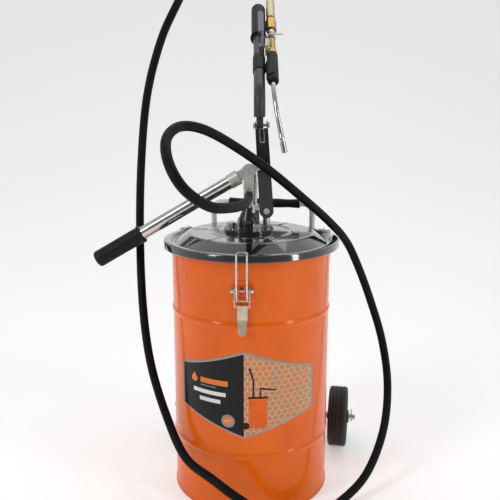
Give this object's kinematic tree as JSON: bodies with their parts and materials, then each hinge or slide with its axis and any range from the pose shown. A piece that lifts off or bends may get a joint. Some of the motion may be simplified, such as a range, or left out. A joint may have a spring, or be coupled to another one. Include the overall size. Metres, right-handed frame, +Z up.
{
  "type": "hand-operated drum pump",
  "caption": "Hand lever pump on a lidded wheeled drum, with a long hose to a delivery gun clipped on a folding handle.",
  "frame": {"origin": "centre of the drum's base, on the floor", "axes": "+Z up along the drum, -Y towards the label and outlet, -X along the pump's lever"},
  "size_m": [0.5896, 0.7635, 1.0676],
  "materials": {
    "orange_paint": "gloss",
    "label_film": "gloss print",
    "black_paint": "gloss",
    "seal_rubber": "matt",
    "zinc": "zinc plated",
    "yellow_zinc": "yellow zinc",
    "tyre_rubber": "matt",
    "rim_plastic": "satin",
    "cream_steel": "satin",
    "black_grip": "satin",
    "cast_alloy": "sand cast",
    "chrome_steel": "polished",
    "plain_steel": "plain",
    "brass_metal": "satin",
    "pale_brass": "crimped",
    "grey_paint": "satin",
    "trigger_plastic": "satin",
    "hose_rubber": "matt"
  },
  "bodies": {
    "drum": {"drum_shell": "orange_paint", "drum_base": "orange_paint", "drum_label": "label_film", "lid": "black_paint", "gaskets": "seal_rubber", "clamp_brackets": "orange_paint", "clamp_bolts": "zinc", "axle": "zinc", "axle_brackets": "orange_paint", "axle_fittings": "zinc", "bail_handle": "cream_steel", "bail_grip": "black_grip", "bail_lugs": "orange_paint", "pump_head": "black_paint", "hex_bolts": "zinc", "bleed_screw": "zinc", "outlet_column": "cast_alloy", "outlet_fitting": "zinc", "clevis_post": "cast_alloy", "fulcrum_bolt": "zinc", "rod_gland": "zinc", "pump_tube": "plain_steel", "foot_valve": "brass_metal", "check_ball": "chrome_steel", "strainer": "plain_steel", "pole_channel": "black_paint", "pole_post": "zinc", "pole_pins": "zinc", "hose": "hose_rubber"},
    "clamp_a": {"clamp_lever_a": "yellow_zinc"},
    "clamp_b": {"clamp_lever_b": "yellow_zinc"},
    "clamp_c": {"clamp_lever_c": "yellow_zinc"},
    "hook_a": {"clamp_hook_a": "zinc"},
    "hook_b": {"clamp_hook_b": "zinc"},
    "hook_c": {"clamp_hook_c": "zinc"},
    "wheel_left": {"tyre_left": "tyre_rubber", "rim_left": "rim_plastic"},
    "wheel_right": {"tyre_right": "tyre_rubber", "rim_right": "rim_plastic"},
    "lever": {"lever_head": "cast_alloy", "lever_tube": "chrome_steel", "lever_grip": "black_grip"},
    "pump_rod": {"rod_pin": "zinc", "piston_rod": "chrome_steel", "piston": "seal_rubber"},
    "follower": {"follower_plate": "plain_steel", "follower_seal": "seal_rubber"},
    "handle": {"handle_tube": "grey_paint", "handle_grip": "black_grip", "gun_clip": "black_grip", "gun_grip": "black_grip", "gun_body": "brass_metal", "gun_bracket": "yellow_zinc", "gun_pins": "zinc", "gun_collar": "zinc", "gun_nut": "brass_metal", "gun_spout": "chrome_steel", "hose_ferrule": "pale_brass"},
    "trigger": {"gun_trigger": "trigger_plastic"},
    "valve_pin": {"gun_valve_pin": "zinc"}
  },
  "joints": [
    {"name": "lever_swing", "type": "hinge", "parent": "drum", "child": "lever", "pos_m": [-0.004, 0, 0.62], "axis": [0, 1, 0], "range_deg": [0, 60]},
    {"name": "rod_slide", "type": "slide", "parent": "drum", "child": "pump_rod", "axis": [0, 0, -1], "range_m": [-0.0002, 0.0156]},
    {"name": "wheel_left_spin", "type": "hinge", "parent": "drum", "child": "wheel_left", "pos_m": [-0.13691, 0.18813, 0.065], "axis": [0.9848, -0.1736, 0], "continuous": true},
    {"name": "wheel_right_spin", "type": "hinge", "parent": "drum", "child": "wheel_right", "pos_m": [0.193, 0.12996, 0.065], "axis": [0.9848, -0.1736, 0], "continuous": true},
    {"name": "clamp_a_open", "type": "hinge", "parent": "drum", "child": "clamp_a", "pos_m": [-0.01533, -0.15926, 0.431], "axis": [-0.9954, 0.0958, 0], "range_deg": [0, 110]},
    {"name": "hook_a_lean", "type": "hinge", "parent": "clamp_a", "child": "hook_a", "pos_m": [-0.01533, -0.15926, 0.413], "axis": [-0.9954, 0.0958, 0], "range_deg": [-128, 1]},
    {"name": "clamp_b_open", "type": "hinge", "parent": "drum", "child": "clamp_b", "pos_m": [0.14559, 0.06635, 0.431], "axis": [0.4147, -0.91, 0], "range_deg": [0, 110]},
    {"name": "hook_b_lean", "type": "hinge", "parent": "clamp_b", "child": "hook_b", "pos_m": [0.14559, 0.06635, 0.413], "axis": [0.4147, -0.91, 0], "range_deg": [-128, 1]},
    {"name": "clamp_c_open", "type": "hinge", "parent": "drum", "child": "clamp_c", "pos_m": [-0.13026, 0.09291, 0.431], "axis": [0.5807, 0.8141, 0], "range_deg": [0, 110]},
    {"name": "hook_c_lean", "type": "hinge", "parent": "clamp_c", "child": "hook_c", "pos_m": [-0.13026, 0.09291, 0.413], "axis": [0.5807, 0.8141, 0], "range_deg": [-128, 1]},
    {"name": "handle_fold", "type": "hinge", "parent": "drum", "child": "handle", "pos_m": [0.01941, 0.021, 0.70302], "axis": [0.998, 0, 0.0638], "range_deg": [-20, 40]},
    {"name": "trigger_squeeze", "type": "hinge", "parent": "handle", "child": "trigger", "pos_m": [0.024, 0.13331, 0.85533], "axis": [-1, 0, 0], "range_deg": [0, 4], "stiffness_Nm_per_rad": 2, "springref_deg": -5.73},
    {"name": "valve_pin_slide", "type": "slide", "parent": "handle", "child": "valve_pin", "axis": [0, 0.5592, -0.829], "range_m": [-0.0001, 0.0016]},
    {"name": "follower_slide", "type": "slide", "parent": "drum", "child": "follower", "axis": [0, 0, -1], "range_m": [0, 0.33]}
  ],
  "couplings": [
    {"joint": "rod_slide", "follows": "lever_swing", "m_per_rad": 0.014335},
    {"joint": "valve_pin_slide", "follows": "trigger_squeeze", "m_per_rad": 0.022},
    {"joint": "hook_a_lean", "follows": "clamp_a_open", "ratio": -1.15},
    {"joint": "hook_b_lean", "follows": "clamp_b_open", "ratio": -1.15},
    {"joint": "hook_c_lean", "follows": "clamp_c_open", "ratio": -1.15}
  ]
}
